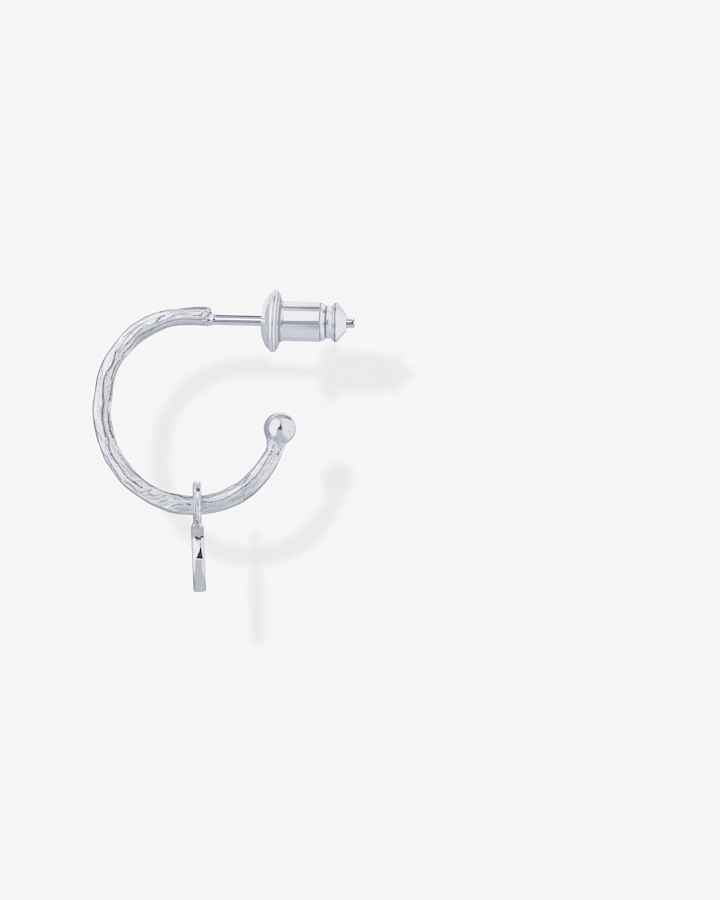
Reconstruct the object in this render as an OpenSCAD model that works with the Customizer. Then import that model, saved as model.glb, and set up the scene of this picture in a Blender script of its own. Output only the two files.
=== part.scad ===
// Hoop charm earring: a carved open hoop with a ball end and a soldered post, a disc charm
// on a bail ring round the hoop's wire, and a bullet clutch on the post.
// The post lies along +X, the hoop lies in the XZ plane, and the origin is on the post's axis
// at the middle of the gap that the ear lobe fills.

/* [Hoop] */
// Radius of the hoop, to the middle of its wire
hoop_r = 6.96; // [6.4:0.02:9]
// Width of the hoop's wire, seen from the side
wire_w = 1.42; // [1.2:0.01:1.8]
// Depth of the hoop's wire, front to back
wire_d = 1.36; // [1.1:0.01:1.8]
// Diameter of the ball on the hoop's free end
ball_d = 2.38; // [1.9:0.02:3]
// Where the wire ends at the post, in degrees up from +X at the hoop's middle
post_end_angle = 84; // [78:1:88]
// Where the ball sits, in degrees down from +X at the hoop's middle
ball_angle = 10.6; // [5:0.2:20]

/* [Post] */
// Diameter of the post
post_d = 0.8; // [0.7:0.05:1]
// How far the post's axis lies below the middle of the wire's end
post_drop = 0.2; // [0:0.01:0.25]
// Length of the gap between the wire's end and the clutch, where the ear lobe sits
lobe_gap = 4.19; // [2.5:0.01:6]
// Length of post that stands out of the clutch's nose
post_tip = 0.6; // [0.3:0.05:2]
// Width of the bevel round the post's tip
post_bevel = 0.1; // [0.05:0.01:0.2]
// Length of the tapered solder joint between the wire and the post
solder_l = 0.5; // [0.2:0.02:0.8]

/* [Charm] */
// Diameter of the bail ring's own wire
ring_wire_d = 0.7; // [0.4:0.02:0.9]
// How far the bail ring's middle lies above the middle of the hoop's wire
ring_rise = 0.09; // [0:0.01:0.2]
// Smallest gap between the bail ring and the hoop's wire
ring_clearance = 0.1; // [0.05:0.01:0.4]
// Where the bail ring hangs, in degrees at the hoop's middle, with 270 straight down
ring_angle = 273.6; // [262:0.2:280]
// Lean of the bail ring from upright, with its foot towards +X, in degrees
ring_lean = 2; // [0:0.5:5]
// Diameter of the disc
disc_d = 4.98; // [4:0.02:6.5]
// Thickness of the disc
disc_t = 0.95; // [0.6:0.01:1.2]
// Radius of the disc's rounded edges
disc_edge_r = 0.15; // [0.05:0.01:0.25]
// Lean of the disc from upright, in degrees
disc_lean = 3.7; // [0:0.1:6]
// Turn of the whole charm about the upright, away from square to the hoop, in degrees
charm_turn = 5; // [-8:0.5:8]
// How far the solder sinks the ring's outside into the disc's rim
ring_sink = 0.07; // [0.05:0.01:0.2]
// Diameter of the solder seat where the ring meets the disc
seat_d = 0.82; // [0.5:0.02:0.9]
// Height of the solder seat above the disc's rim
seat_h = 0.14; // [0.06:0.02:0.2]

/* [Clutch] */
// Diameter of the flange
flange_d = 4.72; // [3.8:0.02:6]
// Diameter of the flange's flat front face
face_d = 2.2; // [1.4:0.02:2.8]
// Length of the flange's front cone
front_cone_l = 0.74; // [0.3:0.02:1.2]
// Thickness of the flange's rim
rim_w = 0.44; // [0.3:0.02:0.8]
// Length of the flange's back cone
back_cone_l = 0.42; // [0.2:0.02:0.8]
// Diameter of the foot of the flange's back cone
cone_foot_d = 3.5; // [3.3:0.02:3.7]
// Diameter of the barrel
barrel_d = 2.94; // [2.6:0.02:3.2]
// Length of the barrel
barrel_l = 2.74; // [1.5:0.02:4]
// Length of the groove between the barrel and the ridge
groove_l = 0.96; // [0.7:0.02:1.6]
// Diameter at the bottom of the groove
groove_d = 2.34; // [1.8:0.02:2.5]
// Width of the ridge
ridge_w = 0.36; // [0.2:0.02:0.6]
// Length of the nose cone
nose_l = 0.62; // [0.3:0.02:1.2]
// Diameter of the nose's flat end
nose_d = 1.26; // [1.2:0.02:2]
// Radius of the clutch's rounded edges
clutch_edge_r = 0.16; // [0.05:0.01:0.3]
// Clearance all round between the post and the clutch's bore
bore_clearance = 0.04; // [0.02:0.01:0.08]

/* [Hidden] */
$fn = 48;

// Carved sections, from the post end round to the ball. Each row holds the angle at the hoop's
// middle, the shift of the wire's middle outwards and its width as shares of wire_w, and the
// places of the two front ridges round the wire, in degrees from its outer edge.
SECTION_COLUMNS = ["angle", "shift", "width", "ridge_a", "ridge_b"];
sections = [
    [84, 0.01, 1.04, 62, 98],
    [95, 0.00, 0.98, 66, 100],
    [101, 0.02, 0.92, 72, 104],
    [110, 0.06, 0.98, 96, 118],
    [119, 0.08, 1.04, 88, 120],
    [126, 0.09, 1.06, 84, 124],
    [136, 0.06, 1.00, 96, 128],
    [143, 0.04, 0.97, 84, 128],
    [152, 0.04, 0.95, 100, 130],
    [161, -0.03, 0.98, 90, 140],
    [171, -0.12, 0.98, 90, 148],
    [182, -0.08, 1.00, 97, 142],
    [193, -0.10, 0.97, 96, 144],
    [203, -0.08, 0.93, 94, 148],
    [211, -0.05, 0.99, 86, 144],
    [219, -0.04, 0.97, 95, 138],
    [229, 0.01, 0.98, 86, 142],
    [239, 0.03, 0.90, 92, 150],
    [249, 0.07, 0.95, 101, 152],
    [258, 0.08, 1.04, 105, 146],
    [268, 0.08, 1.04, 107, 132],
    [278, 0.08, 1.03, 98, 130],
    [289, 0.07, 1.04, 95, 144],
    [300, 0.05, 1.08, 104, 148],
    [307, 0.01, 1.06, 104, 124],
    [315, -0.05, 1.04, 96, 142],
    [324, -0.11, 1.00, 100, 146],
    [332, -0.15, 0.95, 105, 146],
    [338, -0.20, 0.88, 108, 146],
    [350, -0.29, 0.80, 108, 146]
];
section_first = sections[0][0];
section_last = sections[len(sections) - 1][0];

// The named column of the section table, read at a place along the table
function column(name, place) =
    let (n = search([name], SECTION_COLUMNS)[0])
    lookup(place, [for (row = sections) [row[0], row[n]]]);

// The hoop's run from the post end to the ball, and the table's place at an angle of that run
run_start = post_end_angle;
run_end = 360 - ball_angle;
function place_at(angle) =
    section_first + (section_last - section_first) * (angle - run_start) / (run_end - run_start);

// The wire's middle at an angle round the hoop
function wire_r(angle) = hoop_r + wire_w * column("shift", place_at(angle));
hoop_x = -lobe_gap / 2 - wire_r(run_start) * cos(run_start);
hoop_z = post_drop - wire_r(run_start) * sin(run_start);
function wire_middle(angle) =
    [hoop_x + wire_r(angle) * cos(angle), 0, hoop_z + wire_r(angle) * sin(angle)];
function wire_half_w(angle) = wire_w * column("width", place_at(angle)) / 2;

// One carved section: eight corners round the wire, at angles from its outer edge. The back is
// carved as the front is, with the run read the other way.
CORNERS = 8;
FLAT_SHARE = 0.97;
function carved_ring(angle) =
    let (
        here = place_at(angle),
        there = section_first + section_last - here,
        front_a = column("ridge_a", here),
        front_b = column("ridge_b", here),
        back_a = column("ridge_a", there),
        back_b = column("ridge_b", there),
        half_w = wire_half_w(angle),
        half_d = wire_d / 2,
        corners = [
            [0, 1],
            [front_a / 2, FLAT_SHARE],
            [front_a, 1],
            [front_b, 1],
            [180, 1],
            [360 - back_b, 1],
            [360 - back_a, 1],
            [360 - back_a / 2, FLAT_SHARE]
        ]
    )
    [for (c = corners) [half_w * c[1] * cos(c[0]), -half_d * c[1] * sin(c[0])]];

// A ring of corners set across the run, with its outer edge at an angle
function placed_ring(flat_ring, middle, angle) = [
    for (p = flat_ring) [middle[0] + p[0] * cos(angle), p[1], middle[2] + p[0] * sin(angle)]
];

// The solder joint: the end section drawn in towards the post, then a small one inside the post
TAPER_SHARE = 0.62;
TAPER_PLACE = 0.55;
INSIDE_SHARE = 0.7;
taper_middle = [-lobe_gap / 2 + solder_l * TAPER_PLACE, 0, post_drop * (1 - TAPER_SHARE)];
taper_ring = [for (p = carved_ring(run_start)) p * TAPER_SHARE];
inside_middle = [-lobe_gap / 2 + solder_l, 0, 0];
inside_ring = [
    for (i = [0:CORNERS - 1])
        let (turn = 360 * i / CORNERS)
        [cos(turn), -sin(turn)] * post_d / 2 * INSIDE_SHARE
];

RING_STEP = 2.4;
ring_count = ceil((run_end - run_start) / RING_STEP);
wire_rings = concat(
    [placed_ring(inside_ring, inside_middle, 90), placed_ring(taper_ring, taper_middle, 90)],
    [
        for (i = [0:ring_count])
            let (angle = run_start + (run_end - run_start) * i / ring_count)
            placed_ring(carved_ring(angle), wire_middle(angle), angle)
    ]
);

// A closed solid skinned over a run of rings, each with the same number of corners
module skin(rings) {
    corners = len(rings[0]);
    last = len(rings) - 1;
    points = [for (ring = rings) each ring];
    sides = [
        for (i = [0:last - 1])
            for (j = [0:corners - 1])
                let (k = (j + 1) % corners)
                each [
                    [i * corners + j, i * corners + k, (i + 1) * corners + k],
                    [i * corners + j, (i + 1) * corners + k, (i + 1) * corners + j]
                ]
    ];
    first_cap = [for (j = [corners - 1:-1:0]) j];
    last_cap = [for (j = [0:corners - 1]) last * corners + j];
    polyhedron(points = points, faces = concat(sides, [first_cap, last_cap]));
}

// The arc that rounds a corner between two neighbours, drawn in a few steps and kept to less
// than half of each side
ARC_STEPS = 4;
SIDE_SHARE = 0.45;
function arc(before, corner, after, radius) =
    let (
        u = (before - corner) / norm(before - corner),
        v = (after - corner) / norm(after - corner),
        half = acos(u * v) / 2,
        longest = SIDE_SHARE * min(norm(before - corner), norm(after - corner)),
        run = min(radius / tan(half), longest),
        r = run * tan(half),
        middle = corner + (u + v) / norm(u + v) * r / sin(half),
        from = corner + u * run - middle,
        to = corner + v * run - middle,
        sweep = 180 - 2 * half
    )
    [
        for (i = [0:ARC_STEPS])
            let (t = i / ARC_STEPS)
            middle + (from * sin((1 - t) * sweep) + to * sin(t * sweep)) / sin(sweep)
    ];

// A profile whose rows hold a length along the axis, a radius and the rounding of that corner
function rounded(profile) = [
    for (i = [0:len(profile) - 1])
        let (p = profile[i])
        each p[2] == 0
            ? [[p[0], p[1]]]
            : arc([profile[i - 1][0], profile[i - 1][1]], [p[0], p[1]],
                  [profile[i + 1][0], profile[i + 1][1]], p[2])
];

// A solid turned about the X axis from a profile of lengths and radii
module turned_x(profile) {
    rotate([0, 90, 0])
        rotate_extrude()
            polygon([for (p = profile) [p[1], p[0]]]);
}

// The clutch's stations along the post, from its front face to its nose
clutch_x = lobe_gap / 2;
rim_x = clutch_x + front_cone_l;
cone_x = rim_x + rim_w;
barrel_x = cone_x + back_cone_l;
groove_x = barrel_x + barrel_l;
ridge_x = groove_x + groove_l;
nose_x = ridge_x + ridge_w;
clutch_end_x = nose_x + nose_l;
tip_x = clutch_end_x + post_tip;
post_root_x = -lobe_gap / 2 - wire_w / 2;

module post() {
    turned_x([
        [post_root_x, 0],
        [post_root_x, post_d / 2],
        [tip_x - post_bevel, post_d / 2],
        [tip_x, post_d / 2 - post_bevel],
        [tip_x, 0]
    ]);
}

module hoop() {
    color("silver")
        union() {
            skin(wire_rings);
            translate(wire_middle(run_end))
                sphere(d = ball_d);
            post();
        }
}

// The charm is drawn in its own frame: the hoop's wire passes the origin along X, the bail ring
// stands round it and the disc hangs below
ring_inner_r = max(wire_half_w(ring_angle), wire_d / 2) + ring_rise + ring_clearance;
ring_r = ring_inner_r + ring_wire_d / 2;
seat_z = ring_rise - ring_inner_r - ring_wire_d + ring_sink;

module bail_ring() {
    translate([0, 0, ring_rise])
        rotate([0, 90, 0])
            rotate_extrude()
                translate([ring_r, 0])
                    circle(d = ring_wire_d);
}

module disc() {
    turned_x(rounded([
        [-disc_t / 2, 0, 0],
        [-disc_t / 2, disc_d / 2, disc_edge_r],
        [disc_t / 2, disc_d / 2, disc_edge_r],
        [disc_t / 2, 0, 0]
    ]));
}

module charm() {
    color("silver")
        translate(wire_middle(ring_angle))
            rotate([0, -ring_lean, charm_turn])
                union() {
                    bail_ring();
                    translate([0, 0, seat_z])
                        rotate([0, ring_lean - disc_lean, 0]) {
                            translate([0, 0, -disc_d / 2])
                                disc();
                            translate([0, 0, -seat_d / 2])
                                cylinder(h = seat_d / 2 + seat_h, d = seat_d);
                        }
                }
}

module clutch() {
    soft = clutch_edge_r;
    bore_d = post_d + 2 * bore_clearance;
    overshoot = 1;
    color("lightgray")
        difference() {
            turned_x(rounded([
                [clutch_x, 0, 0],
                [clutch_x, face_d / 2, soft],
                [rim_x, flange_d / 2 - rim_w / 4, soft],
                [rim_x + rim_w / 2, flange_d / 2, soft],
                [cone_x, flange_d / 2 - rim_w / 4, soft],
                [barrel_x, cone_foot_d / 2, soft / 2],
                [barrel_x, barrel_d / 2, 0],
                [groove_x, barrel_d / 2, soft * 2],
                [groove_x + groove_l * 0.45, groove_d / 2, soft],
                [ridge_x - groove_l * 0.25, groove_d / 2, soft],
                [ridge_x, barrel_d / 2, soft],
                [nose_x, barrel_d / 2, soft],
                [clutch_end_x, nose_d / 2, soft / 2],
                [clutch_end_x, 0, 0]
            ]));
            translate([clutch_x - overshoot, 0, 0])
                rotate([0, 90, 0])
                    cylinder(h = clutch_end_x - clutch_x + 2 * overshoot, d = bore_d);
        }
}

hoop();
charm();
clutch();
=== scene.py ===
from math import acos, asin, atan2, cos, degrees, hypot, pi, radians, sin, sqrt, tan

import bpy
import numpy as np
from mathutils import Matrix, Vector


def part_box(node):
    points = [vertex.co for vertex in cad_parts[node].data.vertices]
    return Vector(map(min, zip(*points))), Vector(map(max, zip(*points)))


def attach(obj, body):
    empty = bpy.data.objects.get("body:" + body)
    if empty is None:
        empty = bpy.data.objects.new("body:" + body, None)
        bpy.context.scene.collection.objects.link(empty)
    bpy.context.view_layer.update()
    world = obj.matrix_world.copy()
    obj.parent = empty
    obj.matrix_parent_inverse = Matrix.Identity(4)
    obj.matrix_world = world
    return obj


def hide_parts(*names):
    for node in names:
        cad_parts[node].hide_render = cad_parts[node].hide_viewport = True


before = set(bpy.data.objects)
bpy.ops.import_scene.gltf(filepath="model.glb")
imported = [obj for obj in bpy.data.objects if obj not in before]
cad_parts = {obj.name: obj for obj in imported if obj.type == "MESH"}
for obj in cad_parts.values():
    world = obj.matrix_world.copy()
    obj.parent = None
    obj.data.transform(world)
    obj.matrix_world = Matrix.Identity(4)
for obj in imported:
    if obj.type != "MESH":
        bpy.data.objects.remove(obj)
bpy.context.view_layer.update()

# Lengths below are in millimetres and angles in degrees, unless a name says otherwise
MM = 0.001
MICRON_IN_MM = 0.001
SEED = 7
# The number of waves that a wandering value is made of
WAVES = 48

# The photograph: its size, its scale and roll at the earring, and the pixel of the frame's origin
PHOTO_W, PHOTO_H = 720, 900
PX_PER_MM = 13.5
PHOTO_ROLL = 1.45
ORIGIN_PX = (233.85, 319.97)
# The point that the carved lines were measured round, in the photograph
HUB_PX = (196.5, 410.5)

# The construction that the pieces follow
HOOP_R = 6.96
WIRE_W = 1.42
WIRE_D = 1.36
BALL_D = 2.38
RUN_START = 84
RUN_END = 349.4
POST_D = 0.8
POST_DROP = 0.2
POST_BEVEL = 0.1
SOLDER_L = 0.6
RING_WIRE_D = 0.7
RING_INNER_R = 0.924
RING_RISE = 0.09
RING_TALLER = 0.12
RING_ANGLE = 273.6
RING_LEAN = 2
CHARM_TURN = 5
DISC_D = 4.98
DISC_T = 0.95
DISC_LEAN = 3.7
RING_SINK = 0.07
SEAT_D = 0.82
SEAT_H = 0.14
FACE_D = 2.2
FRONT_CONE_L = 0.74
RIM_W = 0.44
BACK_CONE_L = 0.42
BARREL_D = 2.94
BARREL_L = 2.74
GROOVE_L = 0.96
GROOVE_D = 2.34
RIDGE_W = 0.36
NOSE_D = 1.26
CLUTCH_EDGE_R = 0.16
FLANGE_LEAN = 1.8
BORE_CLEARANCE = 0.04

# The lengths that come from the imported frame
hoop_box, clutch_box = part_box("hoop"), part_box("clutch")
TIP_X = hoop_box[1].x / MM
CLUTCH_X = clutch_box[0].x / MM
CLUTCH_END_X = clutch_box[1].x / MM
FLANGE_D = 2 * min(clutch_box[1].z, -clutch_box[0].z) / MM

# Carved sections of the wire, from the post end round to the ball: the angle round the hoop,
# the shift of the wire's middle outwards and its width as shares of WIRE_W, and the places of
# the two front ridges round the wire, in degrees from its outer edge
SECTIONS = np.array([
    [84, 0.01, 1.04, 84, 100],
    [95, 0.00, 0.98, 86, 104],
    [101, 0.02, 0.92, 90, 108],
    [110, 0.06, 0.98, 96, 118],
    [119, 0.08, 1.04, 88, 120],
    [126, 0.09, 1.06, 84, 124],
    [136, 0.06, 1.00, 96, 128],
    [143, 0.04, 0.97, 84, 128],
    [152, 0.04, 0.95, 100, 130],
    [161, -0.03, 0.98, 90, 140],
    [171, -0.12, 0.98, 90, 148],
    [182, -0.08, 1.00, 97, 142],
    [193, -0.10, 0.97, 96, 144],
    [203, -0.08, 0.93, 94, 148],
    [211, -0.05, 0.99, 86, 144],
    [219, -0.04, 0.97, 95, 138],
    [229, 0.01, 0.98, 86, 142],
    [239, 0.03, 0.90, 92, 150],
    [249, 0.07, 0.95, 101, 152],
    [258, 0.08, 1.04, 105, 146],
    [268, 0.08, 1.04, 107, 132],
    [278, 0.08, 1.03, 98, 130],
    [289, 0.07, 1.04, 95, 144],
    [300, 0.05, 1.08, 104, 148],
    [307, 0.01, 1.06, 104, 124],
    [315, -0.05, 1.04, 96, 142],
    [324, -0.11, 1.00, 100, 146],
    [332, -0.15, 0.93, 105, 146],
    [336, -0.20, 0.95, 108, 146],
    [339.5, -0.27, 1.10, 108, 146],
    [350, -0.29, 0.80, 108, 146],
])
SHIFT, WIDTH, RIDGE_A, RIDGE_B = 1, 2, 3, 4

# Carved marks, cut in relief and darkened with painted shade and painted reflections: each one's
# width in pixels, its depth in micrometres, where a cut is negative, how dark it is painted, and
# its run, an angle and a radius in pixels round the hub for each point
MARKS = [
    # along the outer edge
    (2.8, -10, 0.72, 84, 103.4, 88, 103, 92, 102.6, 96, 103.2, 100, 104.2, 105, 105, 110, 105.6),
    (1.2, -15, 0.6, 120, 102.2, 124, 102, 128, 102.4, 132, 102.9, 135, 103.2),
    (1.2, -10, 0.6, 152, 105.6, 158, 105.2, 162, 104.6, 165, 104, 168, 103.4),
    (1.6, -5, 0.35, 168, 104.2, 176, 104.4, 186, 104),
    (1.4, -15, 0.75, 186, 103.6, 190, 103.3, 193, 102.6, 196, 103, 200, 103.6, 205, 103),
    (2.4, -5, 0.35, 205, 103.8, 214, 103.4, 223, 103.6),
    (1, -20, 0.7, 205.5, 102.7, 207.5, 101.3, 209, 100.6, 210, 101.6, 214, 101.8, 218, 101.7,
        222.5, 102),
    (1.1, -25, 0.65, 224.5, 101.5, 227, 100.3, 230, 99.8, 232.5, 100.3, 234.3, 101.2),
    (2, -5, 0.35, 224, 104, 235, 103.6, 248, 103.6, 262, 104.4),
    (1.2, -10, 0.5, 273, 104.6, 280, 103.6, 290, 102.8, 295, 102.6, 298, 102.4),
    (1.6, -10, 0.75, 298, 102.3, 302, 101.7, 306, 100.6, 310, 99.8, 315, 99.1, 320, 98.6, 322, 97.9,
        325, 97.1, 331, 96.8),
    # the upper front line
    (1.2, -25, 0.65, 87, 94.5, 91, 94.7),
    (2.6, -10, 0.3, 93, 96.2, 96, 96.6, 99, 97.4, 102, 97.6),
    (1.4, -25, 0.55, 102.5, 97.3, 105, 96.4, 108, 95.6),
    (1.3, -35, 0.95, 108.5, 100.2, 110.5, 100, 112.5, 98.8, 114.5, 96.4),
    (1, -20, 0.6, 109.5, 95.6, 112, 95.2, 114.5, 95.4),
    (1.3, -20, 0.45, 114.5, 96.2, 118, 96.7, 120, 97.6),
    (2.6, -15, 0.4, 120, 98.8, 122, 98.6),
    (1.2, -25, 0.55, 122, 98.4, 126, 97.6, 129.5, 96.6, 133, 96.1, 137, 96.3),
    (0.9, -15, 0.6, 129, 100.3, 132, 100.9, 134.5, 100.4, 136.5, 100.8),
    (1.8, -20, 0.5, 138, 98.8, 140, 98.9, 142.5, 98.6, 144, 99.4),
    (1.8, -35, 0.95, 144, 99.7, 145.5, 98.2, 148, 96.8, 150, 96, 152, 95.8, 154, 96.2, 157, 97,
        160, 97.3, 163, 96.8, 166, 96, 168, 95.3, 171, 94.4, 173, 93.6),
    (2.2, -30, 0.75, 173, 93.6, 176, 92.9, 179, 93.4, 182, 93.7, 184, 94.2, 187, 94.3, 190, 93.9,
        193, 94, 196, 93.9),
    (1.2, -10, 0.4, 178, 95.6, 181, 95, 184, 95.2, 187, 95.6),
    (0.9, -20, 0.55, 193, 101.2, 194.5, 99.8, 196.5, 99.4, 197.5, 99.8),
    (1.4, -15, 0.4, 198, 95.7, 200, 96.1, 202, 96, 205, 95.3),
    (1.4, -25, 0.8, 194, 93.4, 198, 92.6, 200, 93.2, 202, 94.4, 205, 95.2),
    (1.3, -35, 0.9, 205, 95.2, 208, 95.7, 212, 95, 215, 94.4, 218, 95, 221, 95.8, 224, 96.1,
        227, 95.6, 230, 94.8, 233, 94.5, 235, 94.4),
    # the lower front line and the inner edge
    (1, -20, 0.5, 84, 90.5, 90, 90.9, 97, 92.1, 103, 92.8, 110, 93, 117, 92.6),
    (3.2, -5, 0.3, 118, 91.4, 124, 91.2, 131, 91),
    (1.4, -25, 0.75, 117, 92.6, 120, 92.5, 124, 93, 128, 93.2, 130, 92.9, 133, 92, 137, 91.8,
        140, 92.2, 142.5, 92.3, 145, 91.2),
    (1.5, -20, 0.8, 147, 91.6, 150, 92, 153, 92, 156, 91.3, 159, 90.3, 161, 89),
    (2.6, -5, 0.5, 84, 86.2, 88, 85.2, 93, 86.2, 98, 87.3, 105, 88.2),
    (1.4, -10, 0.45, 105, 88.2, 110, 88.8, 120, 88.7, 128, 89.2, 136, 88.9, 142, 88.6),
    (1.3, -15, 0.65, 143, 89.7, 146, 89.9, 150, 89.8, 153, 89.7, 156, 89.2, 160, 88.2, 164, 87.9),
    (1.2, -10, 0.35, 163, 89.6, 164.5, 91, 166, 92.5),
    (2.2, -20, 0.9, 162, 88.2, 166, 87.5, 170, 87, 174, 87.3),
    (1.4, -10, 0.4, 174, 87.4, 178, 88.7, 180, 89.3, 182, 89),
    (1.2, -15, 0.55, 180, 87.4, 181.2, 87.4),
    (2.2, -25, 0.9, 182, 87.6, 185, 87.9, 188, 88.3, 190, 87.9, 193, 88.6, 195, 88.4, 198, 87.7),
    (1.3, -10, 0.6, 187, 86.5, 190, 86.2, 194, 86.2),
    (1.4, -15, 0.5, 198, 87.6, 200, 87.1, 203, 87.4),
    (1.3, -20, 0.55, 207, 88, 210, 88, 214, 88.2, 218, 88.5, 221, 88.3, 225, 87.5),
    (1.1, -10, 0.6, 216, 86.4, 219, 86.7, 222, 86.3, 225, 86.7),
    (1, -15, 0.4, 220, 90.8, 223, 91, 226, 90.3, 228, 89.8),
    (1.4, -25, 0.9, 225, 87.4, 228, 87.1, 231, 87.2, 235, 87.7, 238, 88.2, 240, 87.8),
    (1.5, -20, 0.95, 240, 87.6, 244, 87.4, 248, 86.9, 252, 86.7, 256, 86.2),
    (1.6, -20, 0.85, 256, 86.1, 259, 86.6, 262, 87.3, 265, 87.3, 267.5, 86.2),
    (1.2, -15, 0.5, 261.5, 88.5, 263, 89.2, 266, 88.8),
    # the hammered patch at the lower left: bright ridges, and the cuts and scoops between them
    (1.2, -20, 0.7, 236.3, 99.3, 236.7, 99),
    (1, -25, 0.55, 237, 97.4, 238.5, 96, 239.5, 93, 240.2, 90.4),
    (1.3, 22, 0, 237.6, 99.4, 239.6, 96, 241, 93, 242, 90),
    (2.4, -22, 0.3, 241, 96.8, 243.5, 95.2, 246, 92.9),
    (2.8, -15, 0.22, 243, 98.8, 246, 97.4),
    (1, -25, 0.5, 247.2, 96.6, 248.3, 94, 249.3, 91.5),
    (1.3, 22, 0, 245, 100.6, 247, 99.2, 248.5, 96, 250, 92.7, 251, 90.7),
    (1.2, -20, 0.7, 249.3, 90.2, 249.8, 90.2),
    (2.6, -20, 0.28, 249.5, 97.4, 251.5, 95.4, 253, 92.8),
    (3, -12, 0.2, 250, 101, 252.5, 99),
    (1.2, 22, 0, 253.2, 102, 255, 99.2, 257, 96, 259, 93.5),
    (1.3, -20, 0.7, 256.6, 90.5, 257, 90.3),
    (1.3, -20, 0.7, 258.5, 90.1, 259, 90),
    # lengthwise grooves on both sides of the ring
    (1.2, -25, 0.6, 256, 98, 259, 96.3, 262.5, 95.1),
    (1, -20, 0.5, 258, 100.2, 262, 99.8, 266, 99),
    (1, -20, 0.5, 260, 103, 262.5, 101.4, 266, 100.6),
    (1.8, -30, 0.9, 265, 94, 266.7, 94.8),
    (1.2, -30, 0.85, 272.5, 91.2, 276, 91.8, 279, 92.6, 281, 93),
    (1.2, -25, 0.6, 281, 93, 284, 92.9, 287, 92.8, 290, 92.1, 294, 91.1, 298, 90.6),
    (1.3, -20, 0.6, 272.5, 86, 275, 87, 278, 88, 281, 87.4, 283, 86.9, 287, 86.2, 290, 85.6,
        294, 85.8, 298, 85.2, 301, 86, 303, 87, 305, 86.3, 307, 84.8, 310, 83.5),
    (0.9, -10, 0.35, 274, 102.5, 276, 101.2, 280, 101.5, 285, 101.4),
    (0.9, -10, 0.4, 274, 98, 278, 97.3),
    # along the right arm
    (1.3, -30, 0.8, 298, 90.6, 301, 90.2, 304, 90.1, 308, 89.5, 312, 89.3, 315, 88.5, 318, 87.9,
        322, 86.8, 326, 86.1, 329, 86.1),
    (1.3, -20, 0.7, 301.2, 90.2, 301.8, 90.2),
    (1.3, -20, 0.75, 315.5, 88.6, 316, 88.5),
    (3.8, -12, 0.3, 291, 97, 299, 97.6),
    (3, -12, 0.26, 300, 93.6, 306, 93.2),
    (3.4, -12, 0.28, 307, 95, 312, 93.4),
    (2.6, -10, 0.22, 299, 99.8, 303, 98.6),
    (2.6, -8, 0.2, 315, 91.6, 319, 90.6),
    (1.3, 10, 0, 303.5, 91.5, 304.5, 95, 305, 98.5),
    (1.3, 10, 0, 313.5, 90.5, 314.5, 94, 315, 96.5),
    # pits and wrinkles by the ball and by the post
    (1.3, -30, 0.85, 331.5, 92.6, 333.4, 92.3),
    (1.1, -25, 0.6, 334.5, 93, 336, 92.2),
    (1.1, -25, 0.75, 329, 86.2, 330, 87.3, 331.5, 87.3, 332, 86, 330.5, 85.3),
    (1.1, -20, 0.6, 334, 85.6, 336.5, 85.7),
    (1, -20, 0.5, 337.5, 91, 338.2, 86.5),
    (1.3, -30, 0.8, 86, 98, 86.4, 96, 87, 94.2),
    (1.2, -30, 0.7, 84.3, 102.2, 84.8, 101.6),
    (1.1, -20, 0.5, 84.4, 93.6, 84.9, 92.8),
]

# Painted reflections, as dark lengthwise lines on the post's front: the angle down from its top and
# how dark each is
POST_REFLECTIONS = [(66, 0.85), (112, 0.80)]
POST_REFLECTION_W = 5.5

# Painted reflections, as dark lengthwise lines on the front of the clutch's barrel: the angle down
# from its top, how dark each is and its width in degrees
BARREL_REFLECTIONS = [(91, 0.14, 2.6), (150, 0.34, 2.2)]
# Painted reflections, as dark spots where those lines meet the barrel's ends: their length and how
# far they turn
SPOT_L = 0.11
SPOT_TURN = 9

# Painted reflections, as dark dots on the ball: a pixel of the photograph and how dark it is
BALL_REFLECTIONS = [(270.6, 433.8, 0.55), (290.3, 431.4, 0.40), (269.3, 441.2, 0.6),
             (287.8, 417.4, 0.40), (289.8, 418.3, 0.65)]
BALL_REFLECTION_R = 0.07

# Painted shade and painted reflections on the charm's ring and on its disc, as dark marks: the
# width in pixels, how dark each is painted, and the run of pixels in the photograph
RING_SHADE_AND_REFLECTIONS = [
    (2.6, 0.9, 196.4, 489.4, 197.2, 490.8, 198, 489.6),
    (1.2, 0.55, 194.3, 492, 193.9, 503, 194.5, 512, 194, 519),
    (1.0, 0.40, 198.4, 494, 199.2, 500, 199.8, 512, 199.4, 520),
    (1.2, 0.50, 201, 492, 201.4, 500, 201.2, 509),
    (1.6, 0.55, 199.4, 510, 199.8, 511),
    (1.4, 0.45, 194.4, 510.6, 194.4, 511.2),
    (1.6, 0.75, 195.6, 520.6, 196.2, 522.8),
    (1.2, 0.45, 200.2, 518.4, 200, 522.0),
]
DISC_SHADE_AND_REFLECTIONS = [
    (2.6, 1.0, 195, 537.4, 196.2, 538.4, 197.6, 538.6, 199, 539),
    (2.0, 0.9, 199, 538.6, 200.2, 537.0, 201.6, 536.7, 202.4, 537.2),
    (1.0, 0.45, 192, 525, 195, 525.6, 198, 524.9, 202, 525.6),
]
# Where the disc's matt top ends, as pixels of the photograph, and how much nearer the camera the
# front of the charm is than its middle
MATT_END = [191, 537, 195, 537, 199, 537.8, 200.5, 536.2, 204, 536.2]
CHARM_NEARER = 1.005


def photo_to_frame(px, py):
    """The frame's X and Z, in millimetres, of a pixel of the photograph."""
    dx, dz = (px - ORIGIN_PX[0]) / PX_PER_MM, (ORIGIN_PX[1] - py) / PX_PER_MM
    c, s = cos(radians(PHOTO_ROLL)), sin(radians(PHOTO_ROLL))
    return dx * c - dz * s, dx * s + dz * c


def column(number, angle):
    """A column of SECTIONS at angles round the hoop."""
    return np.interp(angle, SECTIONS[:, 0], SECTIONS[:, number])


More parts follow.
